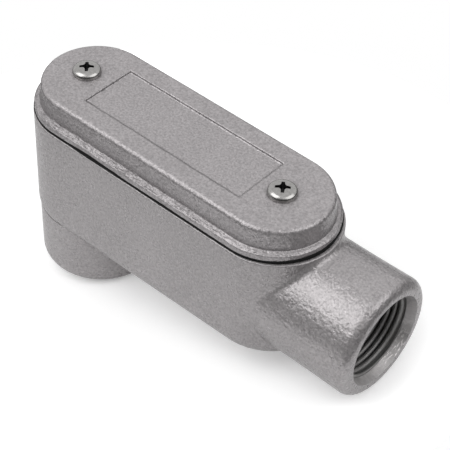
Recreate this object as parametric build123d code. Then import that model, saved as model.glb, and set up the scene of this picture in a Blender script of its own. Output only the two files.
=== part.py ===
from build123d import *
import os
from math import atan2, cos, degrees, radians, sin, tan

os.makedirs("parts", exist_ok=True)

# Cast conduit body with a back outlet, for 3/4 inch threaded conduit. All sizes are in millimetres.
# Origin: centre of the back hub's end face. +Z points out through the cover, +X along the body to the end hub.

# Hubs, each a wall around the same pipe thread
thread_major_radius = 13.3
end_hub_axis_height = 37.6
end_hub_reach = 40.8
end_hub_wall = 5.45
end_hub_flare = 0.25
end_hub_flare_length = 15.0
back_hub_wall = 5.65
hub_lip_round = 3.1
hub_neck_round = 2.3
mouth_step = 1.0
mouth_depth = 3.0
bushing_step = 2.8
bushing_thickness = 4.1
bushing_round = 1.5
end_bushing_setback = 2.9
throat_relief_step = 1.7
end_relief_length = 9.0
back_relief_length = 1.0

# Body: a trough with half-round ends, a little wider than the back hub and taller than the end hub
back_end_offset = 0.35
body_half_straight = 34.75
rim_beyond_hub = 0.35
rim_above_hub = 1.55
floor_below_hub = 0.25
rim_edge_round = 0.4
body_draft = 0.5
floor_slope = 0.9
floor_edge_round = 6.0
wall = 3.0
cavity_floor_round = 3.5

# Cover screws, this far in from the ends of the rim
back_screw_inset = 14.85
end_screw_inset = 17.85
screw_length = 18.5
screw_shank_radius = 1.95
screw_tip_chamfer = 0.5
screw_head_radius = 4.3
screw_head_height = 2.4
screw_head_side = 0.5
recess_span = 4.8
recess_arm_width = 1.05
recess_depth = 1.7
recess_taper = 12.0
back_recess_turn = 42.0
end_recess_turn = 36.0
tapped_hole_clearance = 0.1
cover_hole_clearance = 0.35

# Lugs that the screws are tapped into
lug_half_width = 4.8
lug_nose_depth = 9.0
back_lug_root_depth = 17.0
end_lug_root_depth = 9.0

# Gasket
gasket_thickness = 1.0
gasket_inset = 0.05
gasket_width = 2.8

# Cover: a flange a little smaller than the rim, with a ledge that falls outwards round a raised plateau.
# The whole plate sits a little towards the back hub.
cover_setback = 0.4
flange_side_step = 0.35
flange_straight_step = 0.35
flange_thickness = 2.3
flange_edge_round = 0.4
ledge_width = 1.9
ledge_slope_width = 1.7
ledge_fall = 0.6
plateau_rise = 6.6
plateau_draft = 6.5
plateau_edge_round = 1.5
cover_wall = 2.2
cover_post_radius = 4.4

# Shallow panel in the plateau, between the screws
back_panel_gap = 9.0
end_panel_gap = 7.5
panel_side_margin = 7.8
panel_depth = 0.4
panel_edge_round = 0.2
panel_corner_round = 0.4

# Cutting shapes run this far past the faces that they cut
overrun = 1.0

# Radii that follow from the thread's size
end_hub_radius = thread_major_radius + end_hub_wall
end_hub_neck_radius = end_hub_radius - end_hub_flare
back_hub_radius = thread_major_radius + back_hub_wall
mouth_radius = thread_major_radius + mouth_step
throat_radius = thread_major_radius - bushing_step
throat_relief_radius = thread_major_radius + throat_relief_step
rim_radius = back_hub_radius + rim_beyond_hub

# Places along the body
body_centre_x = back_end_offset + body_half_straight
body_end_x = body_centre_x + body_half_straight
end_hub_face_x = body_end_x + end_hub_reach
back_screw_x = back_end_offset - rim_radius + back_screw_inset
end_screw_x = body_end_x + rim_radius - end_screw_inset
screw_xs = {"left": back_screw_x, "right": end_screw_x}
recess_turns = {"left": back_recess_turn, "right": end_recess_turn}

# Heights of the body, then of the stack of rim, gasket and cover
floor_underside = end_hub_axis_height - end_hub_radius - floor_below_hub
rim_height = end_hub_axis_height + end_hub_radius + rim_above_hub
gasket_top = rim_height + gasket_thickness
flange_top = gasket_top + flange_thickness
plateau_top = flange_top + plateau_rise

# Outlines of the cover, stepped in from the rim's
cover_centre_x = body_centre_x - cover_setback
flange_half_straight = body_half_straight - flange_straight_step
flange_radius = rim_radius - flange_side_step
plateau_base_radius = flange_radius - ledge_width
hollow_radius = plateau_base_radius - cover_wall
panel_start_x = back_screw_x + back_panel_gap
panel_end_x = end_screw_x - end_panel_gap

# Cavity: its radius, floor and ends on the centre line
cavity_radius = rim_radius - wall
cavity_floor = floor_underside + wall
back_thread_depth = cavity_floor - bushing_thickness
end_thread_depth = end_hub_reach - cavity_radius - end_bushing_setback - bushing_thickness
back_wall_x = back_end_offset - cavity_radius
end_wall_x = body_end_x + cavity_radius


def obround(centre_x, half_straight, radius, z):
    return Pos(centre_x, 0, z) * SlotCenterToCenter(2 * half_straight, 2 * radius)


def upright_cylinder(radius, x, bottom, top):
    base = Pos(x, 0, bottom) * Circle(radius)
    return extrude(base, amount=top - bottom)


def floor_plane(height):
    # The floor rises a little towards the end hub. The height is the one at the back hub's axis.
    lean = radians(floor_slope)
    return Plane(origin=(0, 0, height), x_dir=(cos(lean), 0, sin(lean)), z_dir=(-sin(lean), 0, cos(lean)))


def blind_trough(radius, floor_height, top, draft, edge_round):
    # The walls start below the sloping floor, are cut to it and then rounded along it.
    bottom = floor_height - overrun
    lean = tan(radians(draft))
    base_radius = radius + (rim_height - bottom) * lean
    walls = extrude(obround(body_centre_x, body_half_straight, base_radius, bottom), amount=top - bottom, taper=draft)
    spare = extrude(floor_plane(floor_height) * Circle(2 * end_hub_face_x), amount=-2 * floor_height)
    trough = walls - spare
    floor_edges = trough.faces().sort_by(Axis.Z)[0].edges()
    return fillet(floor_edges, edge_round)


def hub_blank(radius, length, flare):
    # The mouth is at the local origin, and the hub runs back along -Z.
    blank = extrude(Circle(radius), amount=-length, taper=flare)
    lip = blank.edges().group_by(Axis.Z)[-1]
    return fillet(lip, hub_lip_round)


def hub_bore(thread_depth, relief_length):
    # Countersunk mouth, straight stretch for the thread, bushing throat and relief behind it.
    countersink = degrees(atan2(mouth_radius - thread_major_radius, mouth_depth))
    mouth = extrude(Circle(mouth_radius), amount=-mouth_depth, taper=countersink)
    thread = extrude(Circle(thread_major_radius), amount=-thread_depth)
    throat_end = thread_depth + bushing_thickness
    throat = extrude(Circle(throat_radius), amount=-throat_end - relief_length)
    relief = Pos(0, 0, -throat_end) * extrude(Circle(throat_relief_radius), amount=-relief_length)
    return mouth + thread + throat + relief


def nosed_plan(screw_x, wall_x):
    # Plan of a lug: a round nose about the screw and straight sides back to the end wall.
    reach = wall_x - screw_x
    nose = Pos(screw_x, 0) * Circle(lug_half_width)
    root = Pos(screw_x + reach / 2, 0) * Rectangle(abs(reach), 2 * lug_half_width)
    return nose + root


def lug(screw_x, wall_x, root_depth):
    outward = 1 if wall_x > screw_x else -1
    root_x = wall_x + outward * wall / 2
    nose_x = screw_x - outward * (lug_half_width + overrun)
    deepest = max(root_depth, lug_nose_depth)
    column = extrude(Pos(0, 0, rim_height) * nosed_plan(screw_x, root_x), amount=-deepest)
    flank = Polyline(
        (nose_x, rim_height),
        (root_x, rim_height),
        (root_x, rim_height - root_depth),
        (screw_x + outward * lug_half_width, rim_height - lug_nose_depth),
        (nose_x, rim_height - lug_nose_depth),
        close=True,
    )
    side = make_face(Plane.XZ * flank)
    return column & extrude(side, amount=lug_half_width, both=True)


def outer_casting(end_plane, back_plane):
    # The walls first stand above the rim, so that the hub's neck blend can run past it.
    walls_top = rim_height + hub_neck_round
    casting = blind_trough(rim_radius, floor_underside, walls_top, body_draft, floor_edge_round)
    neck_root = extrude(Circle(end_hub_neck_radius), amount=end_hub_flare_length - end_hub_reach)
    casting += end_plane * Pos(0, 0, -end_hub_flare_length) * neck_root
    neck = [
        edge for edge in casting.edges()
        if edge.geom_type in (GeomType.BSPLINE, GeomType.OTHER) and edge.bounding_box().max.X > end_wall_x
    ]
    casting = fillet(neck, hub_neck_round)
    above_rim = extrude(obround(body_centre_x, body_half_straight, 2 * rim_radius, rim_height), amount=2 * hub_neck_round)
    casting -= above_rim
    casting = fillet(casting.faces().sort_by(Axis.Z)[-1].edges(), rim_edge_round)
    flare = degrees(atan2(end_hub_radius - end_hub_neck_radius, end_hub_flare_length))
    casting += end_plane * hub_blank(end_hub_radius, end_hub_flare_length, flare)
    return casting + back_plane * hub_blank(back_hub_radius, cavity_floor, 0)


def body():
    end_plane = Plane(origin=(end_hub_face_x, 0, end_hub_axis_height), z_dir=(1, 0, 0))
    back_plane = Plane(origin=(0, 0, 0), z_dir=(0, 0, -1))
    casting = outer_casting(end_plane, back_plane)
    casting -= blind_trough(cavity_radius, cavity_floor, rim_height + overrun, 0, cavity_floor_round)
    casting += lug(back_screw_x, back_wall_x, back_lug_root_depth)
    casting += lug(end_screw_x, end_wall_x, end_lug_root_depth)
    casting -= end_plane * hub_bore(end_thread_depth, end_relief_length)
    casting -= back_plane * hub_bore(back_thread_depth, back_relief_length)
    throats = [
        edge for edge in casting.edges().filter_by(GeomType.CIRCLE)
        if abs(edge.radius - throat_radius) < bushing_round
    ]
    casting = fillet(throats, bushing_round)
    for screw_x in screw_xs.values():
        radius = screw_shank_radius + tapped_hole_clearance
        casting -= upright_cylinder(radius, screw_x, rim_height - lug_nose_depth - overrun, rim_height + overrun)
    return casting


def gasket():
    outer_radius = flange_radius - gasket_inset
    outer = obround(cover_centre_x, flange_half_straight, outer_radius, rim_height)
    inner = obround(cover_centre_x, flange_half_straight, outer_radius - gasket_width, rim_height)
    sheet = outer - inner
    for screw_x, wall_x in ((back_screw_x, back_wall_x), (end_screw_x, end_wall_x)):
        sheet += Pos(0, 0, rim_height) * nosed_plan(screw_x, wall_x)
    sheet = extrude(sheet, amount=gasket_thickness)
    for screw_x in screw_xs.values():
        radius = screw_shank_radius + cover_hole_clearance
        sheet -= upright_cylinder(radius, screw_x, rim_height - overrun, gasket_top + overrun)
    return sheet


def flange():
    outline = obround(cover_centre_x, flange_half_straight, flange_radius, gasket_top)
    plate = extrude(outline, amount=flange_thickness)
    top = plate.faces().sort_by(Axis.Z)[-1]
    plate = chamfer(top.edges(), length=ledge_slope_width, length2=ledge_fall, reference=top)
    slope_foot = flange_top - ledge_fall
    return fillet(plate.edges().filter_by_position(Axis.Z, slope_foot, slope_foot), flange_edge_round)


def drafted_obround(radius, top):
    # The radius is the one at the ledge, and the walls lean in from the gasket upwards.
    lean = tan(radians(plateau_draft))
    foot = obround(cover_centre_x, body_half_straight, radius + flange_thickness * lean, gasket_top)
    return extrude(foot, amount=top - gasket_top, taper=plateau_draft)


def cover():
    plateau = drafted_obround(plateau_base_radius, plateau_top)
    plateau = fillet(plateau.edges().group_by(Axis.Z)[-1], plateau_edge_round)
    hollow_top = plateau_top - cover_wall
    plate = flange() + plateau - drafted_obround(hollow_radius, hollow_top)
    panel_length = panel_end_x - panel_start_x
    panel_width = 2 * (plateau_base_radius - panel_side_margin)
    panel_centre = Pos(panel_start_x + panel_length / 2, 0, plateau_top)
    panel = panel_centre * RectangleRounded(panel_length, panel_width, panel_corner_round)
    plate -= extrude(panel, amount=-panel_depth)
    brink = [
        edge for edge in plate.edges().group_by(Axis.Z)[-1]
        if abs(edge.center().Y) < panel_width / 2 + overrun and back_screw_x < edge.center().X < end_screw_x
    ]
    plate = fillet(brink, panel_edge_round)
    for screw_x in screw_xs.values():
        plate += upright_cylinder(cover_post_radius, screw_x, gasket_top, hollow_top)
        hole_radius = screw_shank_radius + cover_hole_clearance
        plate -= upright_cylinder(hole_radius, screw_x, gasket_top - overrun, plateau_top + overrun)
    return plate


def screw_head():
    # A ball cut to the head's outline gives the low dome above a short upright side.
    crown = screw_head_height - screw_head_side
    ball_radius = (screw_head_radius ** 2 + crown ** 2) / (2 * crown)
    ball = Pos(0, 0, screw_head_height - ball_radius) * Sphere(ball_radius)
    head = extrude(Circle(screw_head_radius), amount=screw_head_height) & ball
    for turn in (0, 90):
        arm = Pos(0, 0, screw_head_height) * Rot(0, 0, turn) * Rectangle(recess_span, recess_arm_width)
        head -= extrude(arm, amount=-recess_depth, taper=recess_taper)
    return head


def screw(screw_x, recess_turn):
    shank = extrude(Circle(screw_shank_radius), amount=-screw_length)
    shank = chamfer(shank.edges().group_by(Axis.Z)[0], screw_tip_chamfer)
    return Pos(screw_x, 0, plateau_top) * Rot(0, 0, recess_turn) * (screw_head() + shank)


parts = {"body": body(), "gasket": gasket(), "cover": cover()}
for side, screw_x in screw_xs.items():
    parts["cover_screw_" + side] = screw(screw_x, recess_turns[side])
for name, part in parts.items():
    export_step(part, "parts/" + name + ".step")
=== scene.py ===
# Finishes, threads, screws, floor and light for the CAD model of a cast conduit body with a gasketed cover

import math

import bmesh
import bpy
from mathutils import Matrix, Vector


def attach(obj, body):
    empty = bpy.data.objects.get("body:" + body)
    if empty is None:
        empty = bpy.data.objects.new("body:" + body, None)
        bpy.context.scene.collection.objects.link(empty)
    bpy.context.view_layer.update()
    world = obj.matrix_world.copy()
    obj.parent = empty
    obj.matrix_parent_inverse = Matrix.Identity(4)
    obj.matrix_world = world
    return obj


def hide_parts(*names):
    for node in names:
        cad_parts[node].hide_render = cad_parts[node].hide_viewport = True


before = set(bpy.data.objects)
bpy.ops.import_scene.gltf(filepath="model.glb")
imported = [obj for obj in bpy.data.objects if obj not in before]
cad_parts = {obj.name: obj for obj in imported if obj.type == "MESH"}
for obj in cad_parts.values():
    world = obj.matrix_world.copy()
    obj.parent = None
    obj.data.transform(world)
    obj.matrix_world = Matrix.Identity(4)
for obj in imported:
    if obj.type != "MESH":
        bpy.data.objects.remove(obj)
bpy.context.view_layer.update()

# Lengths below are in millimetres unless a comment says otherwise, and this turns them into metres
MM = 0.001

# Sizes of the castings, as in the part's source
end_hub_face_x = 110.65
end_hub_axis_height = 37.6
thread_major_radius = 13.3
thread_wall_start = 2.6
thread_wall_end = 17.5
cut_radius = 14.36
plateau_top = 67.8
flange_foot = 59.4
flange_shoulder = 62.6
cover_centre_x = 34.7
cover_half_straight = 34.4
panel_centre_x = 34.35
panel_half_length = 29.45
panel_half_width = 9.25

# Each screw's place along the cover, as in the part's source, and the turn of its recess in degrees
screw_places = {"cover_screw_left": (-4.1, 42.0), "cover_screw_right": (71.3, 36.0)}

# Points this close are joined, and faces that lie this little past a thread's wall count as part of it
weld_distance = 0.002
thread_wall_slack = 0.1

# Paint on the castings. Scales are in waves a metre. Stops are pairs of a pattern's value and its shade
body_paint = (0.324, 0.308, 0.312)
cover_paint = (0.327, 0.310, 0.315)
paint_roughness = 0.29
paint_roughness_spread = 0.16
paint_metallic = 0.4
paint_edge_tint = 0.6
cloud_scale = 45.0
cloud_stops = ((0.25, 0.94), (0.75, 1.06))
speckle_stops = ((0.3, 0.76), (0.5, 1.0), (0.7, 1.24))
pinhole_scale = 170.0
pinhole_stops = ((0.0, 0.74), (0.06, 1.0))
wave_scale = 130.0
wave_height = 0.3
wave_strength = 0.7
wrinkle_scale = 760.0
wrinkle_height = 0.23
grain_scale = 1600.0
grain_height = 0.12

# Edge round the cover's panel, flash on its flange and the rounding of its ledge, which are all bump
panel_edge_width = 0.6
panel_edge_height = 0.9
panel_waver = 0.5
panel_waver_scale = 260.0
flash_calm_start = 52.0
flash_calm_end = 72.0
flash_least = 0.25
flash_stretch = 0.3
flash_scale = 700.0
flash_height = 1.2
ledge_fillet_start = 17.05
ledge_round_start = 18.2
ledge_fall_width = 0.55
ledge_fall = 0.17

# Turned metal in the hubs' mouths, with angles in radians
bore_metal = (0.43, 0.415, 0.415)
bore_roughness = 0.42
bore_roughness_spread = 0.2
bore_metallic = 0.6
stain_scale = 260.0
stain_stops = ((0.3, 0.8), (0.7, 1.1))
chatter_scale = 1700.0
chatter_stretch = 0.2
chatter_stops = ((0.35, 0.88), (0.65, 1.08))
chatter_height = 0.08
chatter_strength = 0.4
scuff_and_glint_scale = 2200.0
scuff_and_glint_stretch = 0.3
scuff_and_glint_stops = ((0.52, 0.0), (0.62, 1.0))
# Glints are painted on the scuffs round this angle, which lightens their colour by the gain
glint_angle = 2.5
glint_side_stops = ((0.15, 1.0), (0.55, 0.0))
glint_gain = 1.1
scuff_height = 0.08
scuff_strength = 0.5

# Rubber and bare metal
rubber_black = (0.006, 0.006, 0.006)
rubber_roughness = 0.85
rubber_specular = 0.2
rubber_scale = 1500.0
rubber_stops = ((0.3, 0.7), (0.7, 1.3))
rubber_height = 0.04
rubber_strength = 0.4
mark_scale = 1300.0
mark_stops = ((0.3, 0.86), (0.7, 1.1))
mark_roughness_spread = 0.14
mark_height = 0.03
mark_strength = 0.25

# Pipe thread: 14 ridges an inch, with the crests cut slightly flat
pipe_pitch = 25.4 / 14
pipe_ridge_depth = 1.1
pipe_ridge_sink = 0.2
pipe_root_width = 1.75
pipe_crest_width = 0.98
pipe_fade_turns = 0.5
pipe_turn_steps = 96

# Machine screw: 32 ridges an inch, from their start above the tip to their end below the head. The pan head
# clears the cover by the seat's gap
screw_pitch = 25.4 / 32
screw_core_radius = 1.56
screw_outer_radius = 1.94
screw_length = 18.5
screw_tip_length = 0.8
screw_tip_taper = 0.5
screw_ridge_start = 0.6
screw_ridge_end = 1.0
screw_ridge_sink = 0.1
screw_root_width = 0.7
screw_crest_width = 0.1
screw_fade_turns = 1.0
screw_turn_steps = 28
head_radius = 4.3
head_height = 2.4
head_crown = 0.35
head_flat_radius = 2.5
head_side = 0.55
head_foot_bevel = 0.12
seat_gap = 0.02
lathe_steps = 72
crown_steps = 5
shoulder_steps = 10
sharp_angle = 32.0

# Cross recess, which narrows from above the head to its floor. Its core's diagonal is a share of the core
recess_arms = 4
recess_rise = 0.5
recess_depth = 1.7
recess_corner = 0.1
recess_diagonal = 0.75
recess_top = {"span": 5.2, "arm": 1.1, "core": 2.4}
recess_floor = {"span": 2.8, "arm": 0.55, "core": 1.2}

# Black rubber lip round the flange's foot, which also stands in for the shade in the joint. Least and waver
# are shares of its thickness
lip_radius = 18.95
lip_height = 58.6
lip_half_width = 0.2
lip_half_height = 0.5
lip_least = 0.5
lip_waver = 5.0
lip_waver_scale = 42.0
lip_arc_steps = 48
lip_run_steps = 60

# Where the casting touches the floor, on its back hub's edge and under its end hub
back_hub_touch = (16.3, 0.0, 0.0)
end_hub_touch = (108.4, 0.0, 18.98)

# Camera, from a fit of the model's edges to the photograph's. Angles are in degrees
camera_turn = 39.842
camera_tilt = 44.441
camera_roll = 2.543
camera_aim = (50.0, 0.0, 31.8)
camera_distance = 431.032
camera_slide_right = 1.471
camera_slide_up = 6.678
camera_focal_pixels = 1458.91
camera_clip_start = 10.0
photo_pixels = 450
sensor_width = 36.0

# Sky and softboxes, with directions that point from the casting to the light
sky_direction = (-0.42, -0.28, 0.85)
sky_top = 0.94
sky_side = 0.3
key_direction = (-0.34, -0.53, 0.77)
key_level = 0.52
key_size = 740.0
side_direction = (0.74, 0.22, 0.63)
side_level = 0.38
side_size = 800.0
lamp_aim = (50.0, 0.0, 35.0)
lamp_distance = 900.0

# Floor paper, and the dark cloth beneath and round it, which is highest at the angle of its front in degrees
paper_radius = 135.0
paper_shift = -58.0
paper_glow = 0.3
paper_rim_glow = 0.7
paper_shade = 0.82
paper_fade_start = 100.0
paper_fade_end = 126.0
cloth_radius = 600.0
cloth_drop = 2.0
cloth_low = 120.0
cloth_high = 360.0
cloth_front = -70.0
cloth_shade = 0.15
stage_steps = 96


def place_camera():
    turn, tilt, roll = [math.radians(angle) for angle in (camera_turn, camera_tilt, camera_roll)]
    back = Vector((math.sin(turn) * math.cos(tilt), -math.cos(turn) * math.cos(tilt), math.sin(tilt)))
    level_right = Vector((math.cos(turn), math.sin(turn), 0.0))
    level_up = back.cross(level_right)
    right = math.cos(roll) * level_right + math.sin(roll) * level_up
    up = math.cos(roll) * level_up - math.sin(roll) * level_right
    slide = camera_slide_right * right + camera_slide_up * up
    place = (Vector(camera_aim) + camera_distance * back + slide) * MM
    data = bpy.data.cameras.new("photo_camera")
    data.sensor_width = sensor_width
    data.lens = camera_focal_pixels / photo_pixels * sensor_width
    data.clip_start = camera_clip_start * MM
    camera = bpy.data.objects.new("photo_camera", data)
    turned = Matrix((right, up, back)).transposed().to_4x4()
    camera.matrix_world = Matrix.Translation(place) @ turned
    bpy.context.scene.collection.objects.link(camera)
    bpy.context.scene.camera = camera


# Short ways to write node trees

def plug_socket(tree, socket, value):
    # Links another node's output to a socket, or sets the socket to a plain value.
    if isinstance(value, bpy.types.NodeSocket):
        tree.links.new(value, socket)
    else:
        socket.default_value = value


def plug(tree, node, **inputs):
    for key, value in inputs.items():
        plug_socket(tree, node.inputs[key.replace("_", " ")], value)


def plug_in_order(tree, node, kind, *values):
    # Serves the inputs of one kind in turn, for nodes whose inputs share a name.
    sockets = [socket for socket in node.inputs if socket.type == kind]
    for socket, value in zip(sockets, values):
        plug_socket(tree, socket, value)


def new_node(tree, kind, settings=None, **inputs):
    node = tree.nodes.new(kind)
    for key, value in (settings or {}).items():
        setattr(node, key, value)
    plug(tree, node, **inputs)
    return node


def calculate(tree, operation, *values):
    node = new_node(tree, "ShaderNodeMath", {"operation": operation})
    plug_in_order(tree, node, "VALUE", *values)
    return node.outputs["Value"]


def calculate_vector(tree, operation, output, *vectors):
    node = new_node(tree, "ShaderNodeVectorMath", {"operation": operation})
    plug_in_order(tree, node, "VECTOR", *vectors)
    return node.outputs[output]


def multiplied(tree, first, second):
    node = new_node(tree, "ShaderNodeMix", {"data_type": "RGBA", "blend_type": "MULTIPLY"}, Factor=1.0)
    plug_in_order(tree, node, "RGBA", first, second)
    return next(socket for socket in node.outputs if socket.type == "RGBA")


def how_far(tree, value, middle):
    return calculate(tree, "ABSOLUTE", calculate(tree, "SUBTRACT", value, middle))


def about(tree, pattern, middle, spread):
    # Follows a pattern of 0 to 1 about a middle value.
    return calculate(tree, "MULTIPLY_ADD", pattern, spread, middle - spread / 2)


def faded(tree, value, start, end, first=0.0, last=1.0, kind="LINEAR"):
    # Goes from the first level to the last one while the value goes from start to end.
    node = new_node(tree, "ShaderNodeMapRange", {"interpolation_type": kind}, Value=value,
                    From_Min=start, From_Max=end, To_Min=first, To_Max=last)
    return node.outputs["Result"]


def split(tree, vector):
    return new_node(tree, "ShaderNodeSeparateXYZ", Vector=vector).outputs


def joined(tree, first, second):
    return new_node(tree, "ShaderNodeCombineXYZ", X=first, Y=second).outputs["Vector"]


def noise(tree, place, scale, detail=2.0, roughness=0.5):
    node = new_node(tree, "ShaderNodeTexNoise", Vector=place, Scale=scale, Detail=detail,
                    Roughness=roughness)
    return node.outputs["Fac"]


def grey(shade):
    return (shade, shade, shade, 1.0)


def ramp(tree, value, stops):
    node = new_node(tree, "ShaderNodeValToRGB", Fac=value)
    points = node.color_ramp.elements
    for where, _ in stops[len(points):]:
        points.new(where)
    for point, (where, shade) in zip(points, stops):
        point.position = where
        point.color = grey(shade)
    return node.outputs["Color"]


def bumped(tree, pattern, height, under=None, strength=1.0):
    node = new_node(tree, "ShaderNodeBump", Height=pattern, Strength=strength, Distance=height * MM)
    if under is not None:
        plug(tree, node, Normal=under)
    return node.outputs["Normal"]


def object_place(tree):
    return tree.nodes.new("ShaderNodeTexCoord").outputs["Object"]


def empty_tree(owner):
    owner.use_nodes = True
    owner.node_tree.nodes.clear()
    return owner.node_tree


def show(tree, surface, kind="ShaderNodeOutputMaterial"):
    new_node(tree, kind, Surface=surface)


def blank_material(name):
    material = bpy.data.materials.new(name)
    tree = empty_tree(material)
    shader = tree.nodes.new("ShaderNodeBsdfPrincipled")
    show(tree, shader.outputs["BSDF"])
    return material, tree, shader


# Finishes

def panel_edge(tree, place):
    # Height of the sloped, slightly wavy edge round the cover's panel: 0 inside it and 1 outside.
    parts = split(tree, place)
    beyond_end = calculate(tree, "SUBTRACT", how_far(tree, parts["X"], panel_centre_x * MM),
                           panel_half_length * MM)
    beyond_side = calculate(tree, "SUBTRACT", calculate(tree, "ABSOLUTE", parts["Y"]), panel_half_width * MM)
    beyond = calculate(tree, "MAXIMUM", beyond_end, beyond_side)
    waver = about(tree, noise(tree, place, panel_waver_scale), 0.0, panel_waver * MM)
    return faded(tree, calculate(tree, "ADD", beyond, waver), -panel_edge_width * MM, panel_edge_width * MM,
                 kind="SMOOTHSTEP")


def flange_flash(tree, place):
    # Height of the ragged streaks that the mould's parting left round the cover's flange, fewer at its
    # right end.
    parts = split(tree, place)
    middle, reach = (flange_foot + flange_shoulder) / 2, (flange_shoulder - flange_foot) / 2
    near = faded(tree, how_far(tree, parts["Z"], middle * MM), reach * MM, 0.0)
    ragged = faded(tree, parts["X"], flash_calm_start * MM, flash_calm_end * MM, 1.0, flash_least)
    drawn = calculate_vector(tree, "MULTIPLY", "Vector", place, (flash_stretch, 1.0, 1.0))
    streaks = about(tree, noise(tree, drawn, flash_scale, detail=3.0, roughness=0.6), 0.0, 1.0)
    return calculate(tree, "MULTIPLY", calculate(tree, "MULTIPLY", near, streaks), ragged)


def ledge_roundings(tree, place):
    # Height of the cover's ledge, which falls in a fillet at the plateau's foot and again in a round at
    # its rim.
    parts = split(tree, place)
    off_centre = how_far(tree, parts["X"], cover_centre_x * MM)
    past_straight = calculate(tree, "SUBTRACT", off_centre, cover_half_straight * MM)
    beyond = calculate(tree, "MAXIMUM", past_straight, 0.0)
    across = calculate(tree, "MULTIPLY", parts["Y"], parts["Y"])
    reach = calculate(tree, "SQRT", calculate(tree, "MULTIPLY_ADD", beyond, beyond, across))
    falls = []
    for start in (ledge_fillet_start, ledge_round_start):
        end = start + ledge_fall_width
        falls.append(faded(tree, reach, start * MM, end * MM, 1.0, 0.0, "SMOOTHSTEP"))
    return calculate(tree, "ADD", *falls)


def cast_finish(name, paint, on_cover):
    # Grey metallic paint over a sand-cast skin: broad waves, hammered wrinkles, fine grain and a few
    # pinholes.
    material, tree, shader = blank_material(name)
    place = object_place(tree)
    wrinkles = noise(tree, place, wrinkle_scale, detail=1.5)
    grain = noise(tree, place, grain_scale, roughness=0.6)
    cloud = ramp(tree, noise(tree, place, cloud_scale, detail=3.0), cloud_stops)
    pinholes = new_node(tree, "ShaderNodeTexVoronoi", Vector=place, Scale=pinhole_scale).outputs["Distance"]
    shade = multiplied(tree, multiplied(tree, cloud, ramp(tree, grain, speckle_stops)),
                       ramp(tree, pinholes, pinhole_stops))
    skin = bumped(tree, noise(tree, place, wave_scale), wave_height, strength=wave_strength)
    if on_cover:
        skin = bumped(tree, panel_edge(tree, place), panel_edge_height, skin)
        skin = bumped(tree, flange_flash(tree, place), flash_height, skin)
        skin = bumped(tree, ledge_roundings(tree, place), ledge_fall, skin)
    hammered = bumped(tree, wrinkles, wrinkle_height, skin)
    plug(tree, shader, Base_Color=multiplied(tree, (*paint, 1.0), shade), Metallic=paint_metallic,
         Specular_Tint=grey(paint_edge_tint), Normal=bumped(tree, grain, grain_height, hammered),
         Roughness=about(tree, wrinkles, paint_roughness, paint_roughness_spread))
    return material


def place_in_hub(tree, place, axes, middle_height):
    # The angle round a hub's middle and the depth along it. Two axes cross the hub and the third runs along
    # it, and its middle has a height on the second one.
    parts = split(tree, place)
    side, upward, depth = [parts[axis] for axis in axes]
    angle = calculate(tree, "ARCTAN2", side, calculate(tree, "SUBTRACT", upward, middle_height * MM))
    return angle, depth


def turned_metal(name, axes, middle_height):
    # Cut metal inside a hub: faint chatter marks across it, and scuffs along it with painted glints on one
    # side.
    material, tree, shader = blank_material(name)
    place = object_place(tree)
    angle, depth = place_in_hub(tree, place, axes, middle_height)
    girth = calculate(tree, "MULTIPLY", angle, thread_major_radius * MM)
    across = joined(tree, girth, calculate(tree, "MULTIPLY", depth, chatter_stretch))
    along = joined(tree, calculate(tree, "MULTIPLY", girth, scuff_and_glint_stretch), depth)
    marks = noise(tree, across, chatter_scale, roughness=0.6)
    scuffs_and_glints = ramp(tree, noise(tree, along, scuff_and_glint_scale, roughness=0.6), scuff_and_glint_stops)
    glint_side = ramp(tree, how_far(tree, angle, glint_angle), glint_side_stops)
    stains = ramp(tree, noise(tree, place, stain_scale, detail=3.0), stain_stops)
    # Painted glints: the scuffs' colour is lightened near the glint angle
    painted_glints = calculate(tree, "MULTIPLY", scuffs_and_glints, glint_side)
    bright = calculate(tree, "MULTIPLY_ADD", painted_glints, glint_gain, 1.0)
    shade = multiplied(tree, multiplied(tree, stains, ramp(tree, marks, chatter_stops)), bright)
    chatter = bumped(tree, marks, chatter_height, strength=chatter_strength)
    plug(tree, shader, Base_Color=multiplied(tree, (*bore_metal, 1.0), shade), Metallic=bore_metallic,
         Roughness=about(tree, marks, bore_roughness, bore_roughness_spread),
         Normal=bumped(tree, scuffs_and_glints, scuff_height, chatter, scuff_strength))
    return material


def sheet_rubber():
    material, tree, shader = blank_material("gasket_rubber")
    rough = noise(tree, object_place(tree), rubber_scale)
    shade = ramp(tree, rough, rubber_stops)
    plug(tree, shader, Base_Color=multiplied(tree, (*rubber_black, 1.0), shade),
         Roughness=rubber_roughness, Specular_IOR_Level=rubber_specular,
         Normal=bumped(tree, rough, rubber_height, strength=rubber_strength))
    return material


def bare_metal(name, colour, roughness, metallic):
    material, tree, shader = blank_material(name)
    marks = noise(tree, object_place(tree), mark_scale, detail=3.0)
    shade = ramp(tree, marks, mark_stops)
    plug(tree, shader, Base_Color=multiplied(tree, (*colour, 1.0), shade), Metallic=metallic,
         Roughness=about(tree, marks, roughness, mark_roughness_spread),
         Normal=bumped(tree, marks, mark_height, strength=mark_strength))
    return material


body_finish = cast_finish("cast_grey_body", body_paint, on_cover=False)
cover_finish = cast_finish("cast_grey_cover", cover_paint, on_cover=True)
end_bore = turned_metal("end_hub_bore", axes="YZX", middle_height=end_hub_axis_height)
back_bore = turned_metal("back_hub_bore", axes="XYZ", middle_height=0.0)
thread_metal = bare_metal("cut_thread", colour=(0.22, 0.216, 0.212), roughness=0.5, metallic=0.4)
# Bore wall between the pipe threads' ridges: oily cut metal, made near-black as painted shade in the grooves
thread_root_oil_and_shade = bare_metal("thread_root_oil_and_shade", colour=(0.1, 0.098, 0.095), roughness=0.6, metallic=0.3)
screw_zinc = bare_metal("screw_zinc", colour=(0.34, 0.333, 0.325), roughness=0.24, metallic=1.0)
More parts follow.
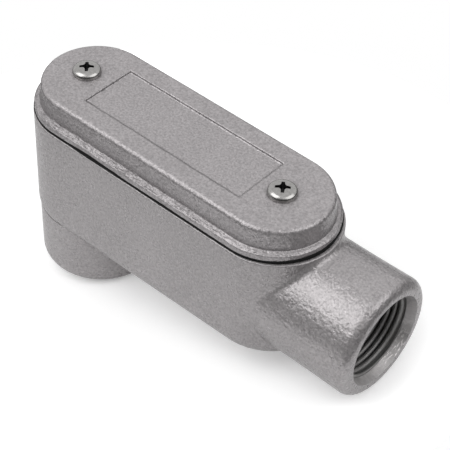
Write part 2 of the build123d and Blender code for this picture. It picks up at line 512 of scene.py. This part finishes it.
# Near-black finish of the screws' cross recesses: painted shade, as the recess is the same zinc as the head
recess_painted_shade = bare_metal("recess_painted_shade", colour=(0.03, 0.03, 0.03), roughness=0.5, metallic=1.0)
rubber = sheet_rubber()


# Trees of Geometry Nodes, the meshes that they grow, and pieces

def open_tree(name, sizes, counts=()):
    # A tree with named inputs: sizes, whole numbers and the finish of what it makes.
    tree = bpy.data.node_groups.new(name, "GeometryNodeTree")
    inputs = [("Geometry", "NodeSocketGeometry")]
    inputs += [(size, "NodeSocketFloat") for size in sizes]
    inputs += [(count, "NodeSocketInt") for count in counts]
    inputs += [("Finish", "NodeSocketMaterial")]
    for label, kind in inputs:
        tree.interface.new_socket(label, in_out="INPUT", socket_type=kind)
    tree.interface.new_socket("Geometry", in_out="OUTPUT", socket_type="NodeSocketGeometry")
    return tree, tree.nodes.new("NodeGroupInput").outputs


def close_tree(tree, shape, finish):
    real = new_node(tree, "GeometryNodeRealizeInstances", Geometry=shape)
    dressed = new_node(tree, "GeometryNodeSetMaterial", Geometry=real.outputs["Geometry"], Material=finish)
    new_node(tree, "NodeGroupOutput", Geometry=dressed.outputs["Geometry"])
    return tree


def sweep(tree, curve, section, size):
    # Carries a section along a curve, upright and wider or narrower with the size.
    upright = new_node(tree, "GeometryNodeSetCurveNormal", {"mode": "Z_UP"}, Curve=curve)
    swept = new_node(tree, "GeometryNodeCurveToMesh", Curve=upright.outputs["Curve"], Profile_Curve=section,
                     Scale=size, Fill_Caps=True)
    return swept.outputs["Mesh"]


def close_up(mesh):
    # Joins points that lie together, drops faces without an area and turns the rest outwards.
    shape = bmesh.new()
    shape.from_mesh(mesh)
    bmesh.ops.remove_doubles(shape, verts=shape.verts, dist=weld_distance * MM)
    bmesh.ops.dissolve_degenerate(shape, dist=weld_distance * MM, edges=shape.edges)
    bmesh.ops.recalc_face_normals(shape, faces=shape.faces)
    shape.to_mesh(mesh)
    shape.free()


def grow(name, tree, values, start=None):
    # Runs a node tree on a mesh, or on an empty one, and returns the result as a plain mesh.
    holder = bpy.data.objects.new(name, start or bpy.data.meshes.new(name))
    bpy.context.scene.collection.objects.link(holder)
    modifier = holder.modifiers.new(name, "NODES")
    modifier.node_group = tree
    for item in tree.interface.items_tree:
        if item.in_out == "INPUT" and item.name in values:
            modifier[item.identifier] = values[item.name]
    bpy.context.view_layer.update()
    seen = holder.evaluated_get(bpy.context.evaluated_depsgraph_get())
    mesh = bpy.data.meshes.new_from_object(seen)
    holder.modifiers.clear()
    bpy.data.objects.remove(holder)
    close_up(mesh)
    return mesh


def new_piece(name, mesh, body):
    piece = bpy.data.objects.new(name, mesh)
    bpy.context.scene.collection.objects.link(piece)
    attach(piece, body)
    return piece


def dress(node, *finishes):
    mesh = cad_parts[node].data
    mesh.materials.clear()
    for finish in finishes:
        mesh.materials.append(finish)
    return mesh


# Helical ridge, for the pipe threads and the screws

def ridge_section(tree, given):
    # Wide at the root, which is sunk in the wall, and narrow at the crest.
    half_root = calculate(tree, "MULTIPLY", given["Root Width"], 0.5)
    half_crest = calculate(tree, "MULTIPLY", given["Crest Width"], 0.5)
    root = given["Sink"]
    crest = calculate(tree, "MULTIPLY", given["Height"], -1.0)
    section = new_node(tree, "GeometryNodeCurvePrimitiveQuadrilateral", {"mode": "POINTS"})
    corners = ((root, calculate(tree, "MULTIPLY", half_root, -1.0)),
               (crest, calculate(tree, "MULTIPLY", half_crest, -1.0)),
               (crest, half_crest),
               (root, half_root))
    for number, (outward, along) in enumerate(corners, 1):
        plug_socket(tree, section.inputs["Point " + str(number)], joined(tree, outward, along))
    return section.outputs["Curve"]


def ridge_tree():
    # A right-handed ridge that stands inwards, or outwards where its height and sink are below 0.
    tree, given = open_tree("helical_ridge", ("Radius", "Pitch", "Turns", "Height", "Sink", "Root Width",
                                              "Crest Width", "Fade Turns"), ("Steps",))
    rise = calculate(tree, "MULTIPLY", given["Pitch"], given["Turns"])
    spiral = new_node(tree, "GeometryNodeCurveSpiral", Resolution=given["Steps"], Rotations=given["Turns"],
                      Start_Radius=given["Radius"], End_Radius=given["Radius"], Height=rise, Reverse=True)
    along = tree.nodes.new("GeometryNodeSplineParameter").outputs["Factor"]
    nearest_end = calculate(tree, "MINIMUM", along, calculate(tree, "SUBTRACT", 1.0, along))
    turns_in = calculate(tree, "MULTIPLY", nearest_end, given["Turns"])
    size = calculate(tree, "MINIMUM", calculate(tree, "DIVIDE", turns_in, given["Fade Turns"]), 1.0)
    return close_tree(tree, sweep(tree, spiral.outputs["Curve"], ridge_section(tree, given), size),
                      given["Finish"])


ridges = ridge_tree()


# Hubs, with the body's material slots in the order in which they are filled

casting_skin, end_mouth, back_mouth, thread_wall = range(4)


def body_zone(centre):
    # The material slot of a face of the body, by the face's centre.
    first_turn, deepest = thread_wall_start * MM, (thread_wall_end + thread_wall_slack) * MM
    end_depth = end_hub_face_x * MM - centre.x
    end_distance = math.hypot(centre.y, centre.z - end_hub_axis_height * MM)
    # Deeper than the first turn, the bore wall takes the thread wall's slot, painted dark as shade in the
    # grooves
    if end_depth < deepest and end_distance < cut_radius * MM:
        return end_mouth if end_depth < first_turn else thread_wall
    if centre.z < deepest and math.hypot(centre.x, centre.y) < cut_radius * MM:
        return back_mouth if centre.z < first_turn else thread_wall
    return casting_skin


def finish_body():
    mesh = dress("body", body_finish, end_bore, back_bore, thread_root_oil_and_shade)
    for face in mesh.polygons:
        face.material_index = body_zone(face.center)


def pipe_thread(name, placing):
    values = {"Radius": thread_major_radius * MM, "Pitch": pipe_pitch * MM,
              "Turns": (thread_wall_end - thread_wall_start) / pipe_pitch,
              "Height": pipe_ridge_depth * MM, "Sink": pipe_ridge_sink * MM,
              "Root Width": pipe_root_width * MM, "Crest Width": pipe_crest_width * MM,
              "Fade Turns": pipe_fade_turns, "Steps": pipe_turn_steps, "Finish": thread_metal}
    mesh = grow(name, ridges, values)
    mesh.transform(placing)
    new_piece(name, mesh, "body")


def cut_pipe_threads():
    end_start = Vector((end_hub_face_x - thread_wall_end, 0.0, end_hub_axis_height)) * MM
    back_start = Vector((0.0, 0.0, thread_wall_start)) * MM
    pipe_thread("end_hub_thread", Matrix.Translation(end_start) @ Matrix.Rotation(math.radians(90), 4, "Y"))
    pipe_thread("back_hub_thread", Matrix.Translation(back_start))


# Black rubber pressed out of the joint, which also stands in for the shade in the gap under the flange

def pressed_lip_tree():
    # A closed bead along a path, whose thickness wavers with a fixed noise.
    tree, given = open_tree("pressed_lip", ("Half Width", "Half Height", "Least", "Waver", "Waver Scale"))
    path = new_node(tree, "GeometryNodeMeshToCurve", Mesh=given["Geometry"])
    where = tree.nodes.new("GeometryNodeInputPosition").outputs["Position"]
    ripple = about(tree, noise(tree, where, given["Waver Scale"]), 0.0, 1.0)
    size = calculate(tree, "MAXIMUM", calculate(tree, "MULTIPLY_ADD", ripple, given["Waver"], 1.0),
                     given["Least"])
    section = new_node(tree, "GeometryNodeCurvePrimitiveQuadrilateral",
                       Width=calculate(tree, "MULTIPLY", given["Half Width"], 2.0),
                       Height=calculate(tree, "MULTIPLY", given["Half Height"], 2.0))
    rounded = new_node(tree, "GeometryNodeFilletCurve", Curve=section.outputs["Curve"],
                       Radius=given["Half Width"])
    return close_tree(tree, sweep(tree, path.outputs["Curve"], rounded.outputs["Curve"], size),
                      given["Finish"])


def lip_path():
    # A closed ring of edges round the flange's foot: at each end a half circle, then a straight run.
    back_x = cover_centre_x - cover_half_straight
    end_x = cover_centre_x + cover_half_straight
    points = []
    for side, centre, next_centre in ((1, end_x, back_x), (-1, back_x, end_x)):
        for step in range(lip_arc_steps + 1):
            angle = math.pi * (step / lip_arc_steps - 0.5)
            points.append((centre + side * lip_radius * math.cos(angle), side * lip_radius * math.sin(angle)))
        for step in range(1, lip_run_steps):
            points.append((centre + (next_centre - centre) * step / lip_run_steps, side * lip_radius))
    mesh = bpy.data.meshes.new("lip_path")
    edges = [(number, (number + 1) % len(points)) for number in range(len(points))]
    mesh.from_pydata([(x * MM, y * MM, lip_height * MM) for x, y in points], edges, [])
    return mesh


def press_gasket():
    values = {"Half Width": lip_half_width * MM, "Half Height": lip_half_height * MM, "Least": lip_least,
              "Waver": lip_waver, "Waver Scale": lip_waver_scale, "Finish": rubber}
    mesh = grow("gasket_lip_and_joint_shade", pressed_lip_tree(), values, lip_path())
    new_piece("gasket_lip_and_joint_shade", mesh, "cover")


# Cover screws

def lathe_ring(shape, radius, height):
    # The points of one ring, or the same point all the way round where it is on the axis.
    if radius == 0.0:
        return [shape.verts.new((0.0, 0.0, height * MM))] * lathe_steps
    ring = []
    for step in range(lathe_steps):
        angle = 2 * math.pi * step / lathe_steps
        point = Vector((radius * math.cos(angle), radius * math.sin(angle), height)) * MM
        ring.append(shape.verts.new(point))
    return ring


def lathe(profile):
    # Turns a profile of (radius, height) about Z. Its first and last points are on the axis, where each face
    # has three corners instead of four.
    shape = bmesh.new()
    rings = [lathe_ring(shape, radius, height) for radius, height in profile]
    for upper, lower in zip(rings, rings[1:]):
        for step in range(lathe_steps):
            after = (step + 1) % lathe_steps
            corners = dict.fromkeys((upper[step], lower[step], lower[after], upper[after]))
            shape.faces.new(list(corners))
    bmesh.ops.recalc_face_normals(shape, faces=shape.faces)
    return shape


def screw_profile():
    # Pan head: a nearly flat crown, a round shoulder and a short straight side, over the shank.
    points = [(0.0, head_height)]
    for step in range(1, crown_steps + 1):
        reach = step / crown_steps
        points.append((head_flat_radius * reach, head_height - head_crown * reach ** 2))
    shoulder_width = head_radius - head_flat_radius
    shoulder_height = head_height - head_crown - head_side
    for step in range(1, shoulder_steps + 1):
        angle = math.pi / 2 * step / shoulder_steps
        points.append((head_flat_radius + shoulder_width * math.sin(angle),
                       head_side + shoulder_height * math.cos(angle)))
    points += [(head_radius, head_foot_bevel), (head_radius - head_foot_bevel, seat_gap)]
    points += [(screw_core_radius, seat_gap), (screw_core_radius, screw_tip_length - screw_length)]
    points += [(screw_core_radius - screw_tip_taper, -screw_length), (0.0, -screw_length)]
    return points


def cross_outline(size, height):
    # Four arms that widen into a round core.
    half, side, inner = size["span"] / 2, size["arm"] / 2, size["core"] / 2
    diagonal = inner * recess_diagonal
    arm = [(half, -side), (half, side), (inner, side + recess_corner), (diagonal, diagonal),
           (side + recess_corner, inner)]
    points = []
    for number in range(recess_arms):
        turned = Matrix.Rotation(2 * math.pi * number / recess_arms, 3, "Z")
        points += [turned @ Vector((across, along, height)) * MM for across, along in arm]
    return points


def recess_cutter():
    shape = bmesh.new()
    outlines = (cross_outline(recess_top, head_height + recess_rise),
                cross_outline(recess_floor, head_height - recess_depth))
    top, floor = [[shape.verts.new(point) for point in outline] for outline in outlines]
    for number in range(len(top)):
        after = (number + 1) % len(top)
        shape.faces.new((top[number], top[after], floor[after], floor[number]))
    shape.faces.new(top)
    shape.faces.new(floor)
    bmesh.ops.recalc_face_normals(shape, faces=shape.faces)
    mesh = bpy.data.meshes.new("recess_cutter")
    shape.to_mesh(mesh)
    shape.free()
    # The cutter's near-black finish becomes the painted shade on the recess walls
    mesh.materials.append(recess_painted_shade)
    return mesh


def cut_recess(mesh):
    # Takes the cross recess out of a screw head, whose walls take the cutter's near-black finish as painted
    # shade.
    screw = bpy.data.objects.new("screw_blank", mesh)
    cutter = bpy.data.objects.new("recess_cutter", recess_cutter())
    for thing in (screw, cutter):
        bpy.context.scene.collection.objects.link(thing)
    cut = screw.modifiers.new("recess", "BOOLEAN")
    cut.operation = "DIFFERENCE"
    cut.solver = "EXACT"
    cut.material_mode = "TRANSFER"
    cut.object = cutter
    bpy.context.view_layer.update()
    made = bpy.data.meshes.new_from_object(screw.evaluated_get(bpy.context.evaluated_depsgraph_get()))
    bpy.data.objects.remove(screw)
    bpy.data.objects.remove(cutter)
    close_up(made)
    return made


def screw_ridge():
    length = screw_length - screw_ridge_start - screw_ridge_end
    values = {"Radius": screw_core_radius * MM, "Pitch": screw_pitch * MM, "Turns": length / screw_pitch,
              "Height": (screw_core_radius - screw_outer_radius) * MM, "Sink": -screw_ridge_sink * MM,
              "Root Width": screw_root_width * MM, "Crest Width": screw_crest_width * MM,
              "Fade Turns": screw_fade_turns, "Steps": screw_turn_steps, "Finish": screw_zinc}
    mesh = grow("screw_ridge", ridges, values)
    mesh.transform(Matrix.Translation(Vector((0.0, 0.0, screw_ridge_start - screw_length)) * MM))
    return mesh


def whole_screw():
    # Head, shank and ridge, upright, with the head's underside above height 0 by the seat's gap.
    blank = bpy.data.meshes.new("screw_blank")
    turned = lathe(screw_profile())
    turned.to_mesh(blank)
    turned.free()
    blank.materials.append(screw_zinc)
    whole = bmesh.new()
    whole.from_mesh(cut_recess(blank))
    whole.from_mesh(screw_ridge())
    mesh = bpy.data.meshes.new("cover_screw")
    whole.to_mesh(mesh)
    whole.free()
    mesh.materials.append(screw_zinc)
    # Second slot: the painted shade on the recess walls
    mesh.materials.append(recess_painted_shade)
    for face in mesh.polygons:
        face.use_smooth = True
    mesh.set_sharp_from_angle(angle=math.radians(sharp_angle))
    return mesh


def drive_screws():
    screw = whole_screw()
    for name, (along, turn) in screw_places.items():
        mesh = screw.copy()
        mesh.name = name + "_finish"
        seat = Matrix.Translation(Vector((along, 0.0, plateau_top)) * MM)
        mesh.transform(seat @ Matrix.Rotation(math.radians(turn), 4, "Z"))
        piece = new_piece(name + "_finish", mesh, name)
        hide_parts(name)


# Floor, lamps and the white surroundings

def seen_directly(tree):
    # 1 for what the camera, a reflection or a see-through surface sees, and 0 for light that falls on things.
    path = tree.nodes.new("ShaderNodeLightPath").outputs
    either = calculate(tree, "MAXIMUM", path["Is Camera Ray"], path["Is Glossy Ray"])
    return calculate(tree, "MAXIMUM", either, path["Is Transmission Ray"])


def white_world():
    # Looks white, and lights things softly from above, most from the upper left.
    world = bpy.data.worlds.new("white_surroundings")
    tree = empty_tree(world)
    direction = tree.nodes.new("ShaderNodeTexCoord").outputs["Generated"]
    facing = calculate_vector(tree, "DOT_PRODUCT", "Value", direction, Vector(sky_direction).normalized())
    upper = calculate(tree, "MAXIMUM", facing, 0.0)
    fill = calculate(tree, "MULTIPLY_ADD", upper, sky_top - sky_side, sky_side)
    seen = seen_directly(tree)
    hidden = calculate(tree, "MULTIPLY", fill, calculate(tree, "SUBTRACT", 1.0, seen))
    background = new_node(tree, "ShaderNodeBackground", Color=grey(1.0),
                          Strength=calculate(tree, "ADD", seen, hidden))
    show(tree, background.outputs["Background"], "ShaderNodeOutputWorld")
    bpy.context.scene.world = world


def one_sided(tree, surface):
    # Clears a surface where it is seen from behind, so that it doesn't hide what lies on it.
    behind = tree.nodes.new("ShaderNodeNewGeometry").outputs["Backfacing"]
    looking = tree.nodes.new("ShaderNodeLightPath").outputs["Is Camera Ray"]
    clear = tree.nodes.new("ShaderNodeBsdfTransparent")
    either = new_node(tree, "ShaderNodeMixShader", Fac=calculate(tree, "MULTIPLY", behind, looking))
    plug_in_order(tree, either, "SHADER", surface, clear.outputs["BSDF"])
    return either.outputs["Shader"]


def floor_paper(centre):
    # White paper with a painted glow where it is seen directly, which grows towards its edge so that it fades
    # into the surroundings.
    material = bpy.data.materials.new("floor_paper")
    tree = empty_tree(material)
    reach = calculate_vector(tree, "DISTANCE", "Value", object_place(tree), centre)
    glow = faded(tree, reach, paper_fade_start * MM, paper_fade_end * MM, paper_glow, paper_rim_glow,
                 "SMOOTHSTEP")
    paper = new_node(tree, "ShaderNodeBsdfDiffuse", Color=grey(paper_shade))
    light = new_node(tree, "ShaderNodeEmission", Color=grey(1.0),
                     Strength=calculate(tree, "MULTIPLY", seen_directly(tree), glow))
    both = tree.nodes.new("ShaderNodeAddShader")
    plug_in_order(tree, both, "SHADER", paper.outputs["BSDF"], light.outputs["Emission"])
    show(tree, one_sided(tree, both.outputs["Shader"]))
    return material


def dark_cloth():
    material = bpy.data.materials.new("dark_cloth")
    tree = empty_tree(material)
    show(tree, new_node(tree, "ShaderNodeBsdfDiffuse", Color=grey(cloth_shade)).outputs["BSDF"])
    return material


def stage_ring(radius, shift, low, high):
    # Points of a circle about the plane that the casting lies on, which touches the back hub's near edge
    # and the end hub's underside. The circle stands at the low height, and rises to the high one in front.
    touch_near, touch_far = Vector(back_hub_touch), Vector(end_hub_touch)
    along = (touch_far - touch_near).normalized()
    across = Vector((0.0, 1.0, 0.0))
    upwards = along.cross(across)
    middle = (touch_near + touch_far) / 2 + shift * along
    points = []
    for step in range(stage_steps):
        angle = 2 * math.pi * step / stage_steps
        toward_front = max(0.0, math.cos(angle - math.radians(cloth_front)))
        lift = low + (high - low) * toward_front ** 2
        outward = math.cos(angle) * along + math.sin(angle) * across
        points.append((middle + radius * outward + lift * upwards) * MM)
    return points


def stage_piece(name, points, faces, material):
    mesh = bpy.data.meshes.new(name)
    mesh.from_pydata(points, [], faces)
    mesh.materials.append(material)
    piece = bpy.data.objects.new(name, mesh)
    bpy.context.scene.collection.objects.link(piece)
    return piece


def lay_floor():
    ring = stage_ring(paper_radius, paper_shift, 0.0, 0.0)
    centre = (ring[0] + ring[stage_steps // 2]) / 2
    stage_piece("floor", ring, [range(stage_steps)], floor_paper(centre))


def hang_dark_cloth():
    # A dark table and a dark screen round it, higher in front. The camera itself doesn't see them.
    low = stage_ring(cloth_radius, 0.0, -cloth_drop, -cloth_drop)
    high = stage_ring(cloth_radius, 0.0, cloth_low, cloth_high)
    faces = [range(stage_steps)]
    for step in range(stage_steps):
        after = (step + 1) % stage_steps
        faces.append((step, after, stage_steps + after, stage_steps + step))
    surround = stage_piece("dark_surround", low + high, faces, dark_cloth())
    surround.visible_camera = False


def softbox(name, direction, size, level):
    # level is what the lamp adds to a white surface that faces it.
    facing = Vector(direction).normalized()
    data = bpy.data.lights.new(name, "AREA")
    data.shape = "SQUARE"
    data.size = size * MM
    data.energy = level * math.pi ** 2 * (lamp_distance * MM) ** 2
    lamp = bpy.data.objects.new(name, data)
    turned = facing.to_track_quat("Z", "Y").to_matrix().to_4x4()
    lamp.matrix_world = Matrix.Translation((Vector(lamp_aim) + facing * lamp_distance) * MM) @ turned
    bpy.context.scene.collection.objects.link(lamp)


place_camera()
finish_body()
dress("cover", cover_finish)
dress("gasket", rubber)
cut_pipe_threads()
press_gasket()
drive_screws()

white_world()
lay_floor()
hang_dark_cloth()
softbox("key_softbox", key_direction, key_size, key_level)
softbox("side_softbox", side_direction, side_size, side_level)
bpy.context.scene.view_settings.view_transform = "Standard"
